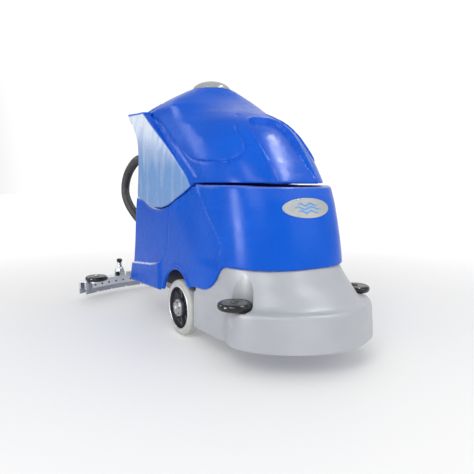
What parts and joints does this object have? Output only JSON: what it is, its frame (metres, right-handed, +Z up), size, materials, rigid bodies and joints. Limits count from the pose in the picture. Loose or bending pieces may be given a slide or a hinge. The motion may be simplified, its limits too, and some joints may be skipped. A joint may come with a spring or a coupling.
{
  "type": "walk-behind floor scrubber dryer",
  "caption": "Walk-behind floor scrubber dryer: blue moulded tanks over a round grey brush deck, white drive-side wheels and a trailing curved squeegee.",
  "frame": {"origin": "centre of the bounding box on the floor, hose left out", "axes": "+Z up, -Y forward, the direction the machine drives in, -X to the operator's right"},
  "size_m": [0.8882, 1.669, 1.058],
  "materials": {
    "blue_shell": "orange peel moulded gloss",
    "grey_shell": "satin moulded",
    "dome": "translucent pale grey",
    "motor_steel": "dark painted",
    "black_plastic": "fine texture",
    "steel": "zinc plated",
    "grip_rubber": "matt",
    "battery_case": "matt",
    "frame_paint": "powder coated grey",
    "roller_black": "gloss",
    "cast_alloy": "cast, bead blasted",
    "bristle": "bristle",
    "tyre_white": "non-marking",
    "rim_dark": "satin",
    "squeegee_alloy": "extruded satin",
    "blade_rubber": "grey polyurethane",
    "lever_blue": "gloss",
    "nameplate": "printed plate",
    "hose": "ribbed"
  },
  "bodies": {
    "chassis": {"chassis_plate": "frame_paint", "axle": "steel", "base_cover": "grey_shell", "solution_tank": "blue_shell", "battery_pack": "battery_case", "squeegee_bracket": "frame_paint", "bumper_bolt_right": "steel", "bumper_bolt_left": "steel", "tank_hinge_lower": "steel", "lever_bracket": "frame_paint", "nameplate": "nameplate", "hose_clip": "black_plastic", "hose_upper": "hose", "hose_lower": "hose"},
    "upper_tank": {"recovery_tank": "blue_shell", "rear_cover": "blue_shell", "vacuum_motor": "motor_steel", "hose_cuff": "black_plastic", "float_cage": "dome", "control_panel": "black_plastic", "handle_bar": "steel", "grip_right": "grip_rubber", "grip_left": "grip_rubber", "tank_hinge_upper": "steel"},
    "lid": {"tank_lid": "dome"},
    "brush_rocker": {"brush_switch": "black_plastic"},
    "vacuum_rocker": {"vacuum_switch": "black_plastic"},
    "key": {"key_switch": "steel"},
    "water_valve": {"water_lever": "black_plastic"},
    "trigger": {"trigger_bar": "black_plastic"},
    "brush_head": {"head_arm": "frame_paint", "gearbox": "cast_alloy", "brush_motor": "motor_steel"},
    "brush": {"brush_driver": "black_plastic", "brush_bristles": "bristle"},
    "castor": {"castor_fork": "steel"},
    "castor_roller": {"castor_wheel": "grip_rubber"},
    "squeegee": {"squeegee_arm": "frame_paint", "squeegee_frame": "squeegee_alloy", "squeegee_blade_front": "blade_rubber", "squeegee_blade_rear": "blade_rubber", "suction_elbow": "black_plastic", "casting_right": "cast_alloy", "casting_left": "cast_alloy"},
    "squeegee_handle": {"squeegee_lever": "steel", "squeegee_lever_grip": "black_plastic"},
    "brush_handle": {"brush_lever": "steel", "brush_lever_grip": "lever_blue"},
    "wheel_right": {"tyre_right": "tyre_white", "rim_right": "rim_dark", "hub_cap_right": "cast_alloy"},
    "knob_right": {"star_knob_right": "roller_black"},
    "front_roller_right": {"bumper_roller_right": "roller_black"},
    "rear_roller_right": {"end_roller_right": "roller_black"},
    "wheel_left": {"tyre_left": "tyre_white", "rim_left": "rim_dark", "hub_cap_left": "cast_alloy"},
    "knob_left": {"star_knob_left": "roller_black"},
    "front_roller_left": {"bumper_roller_left": "roller_black"},
    "rear_roller_left": {"end_roller_left": "roller_black"}
  },
  "joints": [
    {"name": "tank_tilt", "type": "hinge", "parent": "chassis", "child": "upper_tank", "pos_m": [0, 0.3525, 0.574], "axis": [-1, 0, 0], "range_deg": [0, 45], "deforming": ["hose_upper"]},
    {"name": "lid_lift", "type": "slide", "parent": "upper_tank", "child": "lid", "axis": [0, 0, 1], "range_m": [0, 0.06]},
    {"name": "trigger_pull", "type": "hinge", "parent": "upper_tank", "child": "trigger", "pos_m": [0, 0.2725, 0.866], "axis": [1, 0, 0], "range_deg": [0, 24], "stiffness_Nm_per_rad": 0.3, "springref_deg": -22.92},
    {"name": "brush_switch_rock", "type": "hinge", "parent": "upper_tank", "child": "brush_rocker", "pos_m": [-0.07, 0.2479, 0.85], "axis": [1, 0, 0], "range_deg": [-7, 7]},
    {"name": "vacuum_switch_rock", "type": "hinge", "parent": "upper_tank", "child": "vacuum_rocker", "pos_m": [-0.03, 0.2479, 0.85], "axis": [1, 0, 0], "range_deg": [-7, 7]},
    {"name": "key_turn", "type": "hinge", "parent": "upper_tank", "child": "key", "pos_m": [0.03, 0.2485, 0.852], "axis": [0, 1, 0], "range_deg": [0, 90]},
    {"name": "water_lever_turn", "type": "hinge", "parent": "upper_tank", "child": "water_valve", "pos_m": [0.096, 0.2485, 0.852], "axis": [0, 1, 0], "range_deg": [0, 90]},
    {"name": "brush_lift", "type": "slide", "parent": "chassis", "child": "brush_head", "axis": [0, 0, -1], "range_m": [0, 0.088]},
    {"name": "brush_lever_swing", "type": "hinge", "parent": "chassis", "child": "brush_handle", "pos_m": [0.128, 0.3885, 0.456], "axis": [-1, 0, 0], "range_deg": [0, 55]},
    {"name": "brush_spin", "type": "hinge", "parent": "brush_head", "child": "brush", "pos_m": [0, -0.5835, 0.13], "axis": [0, 0, 1], "continuous": true},
    {"name": "squeegee_lift", "type": "hinge", "parent": "chassis", "child": "squeegee", "pos_m": [0, 0.3465, 0.128], "axis": [-1, 0, 0], "range_deg": [0, 3.6], "deforming": ["hose_lower"]},
    {"name": "squeegee_lever_swing", "type": "hinge", "parent": "chassis", "child": "squeegee_handle", "pos_m": [0.092, 0.3885, 0.456], "axis": [-1, 0, 0], "range_deg": [0, 55]},
    {"name": "castor_swivel", "type": "hinge", "parent": "chassis", "child": "castor", "pos_m": [0, 0.2315, 0.14], "axis": [0, 0, 1], "continuous": true},
    {"name": "castor_roll", "type": "hinge", "parent": "castor", "child": "castor_roller", "pos_m": [0, 0.2635, 0.045], "axis": [1, 0, 0], "continuous": true},
    {"name": "wheel_spin_right", "type": "hinge", "parent": "chassis", "child": "wheel_right", "pos_m": [-0.241, -0.1535, 0.1125], "axis": [1, 0, 0], "continuous": true},
    {"name": "bumper_spin_right", "type": "hinge", "parent": "chassis", "child": "front_roller_right", "pos_m": [-0.267, -0.5935, 0.214], "axis": [0, 0, 1], "continuous": true},
    {"name": "end_roller_spin_right", "type": "hinge", "parent": "squeegee", "child": "rear_roller_right", "pos_m": [-0.362, 0.6525, 0.114], "axis": [0, 0, 1], "continuous": true},
    {"name": "knob_turn_right", "type": "hinge", "parent": "squeegee", "child": "knob_right", "pos_m": [-0.196, 0.7738, 0.178], "axis": [0, 0, 1], "continuous": true},
    {"name": "wheel_spin_left", "type": "hinge", "parent": "chassis", "child": "wheel_left", "pos_m": [0.241, -0.1535, 0.1125], "axis": [1, 0, 0], "continuous": true},
    {"name": "bumper_spin_left", "type": "hinge", "parent": "chassis", "child": "front_roller_left", "pos_m": [0.267, -0.5935, 0.214], "axis": [0, 0, 1], "continuous": true},
    {"name": "end_roller_spin_left", "type": "hinge", "parent": "squeegee", "child": "rear_roller_left", "pos_m": [0.362, 0.6525, 0.114], "axis": [0, 0, 1], "continuous": true},
    {"name": "knob_turn_left", "type": "hinge", "parent": "squeegee", "child": "knob_left", "pos_m": [0.196, 0.7738, 0.178], "axis": [0, 0, 1], "continuous": true}
  ],
  "couplings": [
    {"joint": "brush_lever_swing", "follows": "brush_lift", "rad_per_m": 10.8},
    {"joint": "squeegee_lever_swing", "follows": "squeegee_lift", "ratio": 15.2}
  ]
}
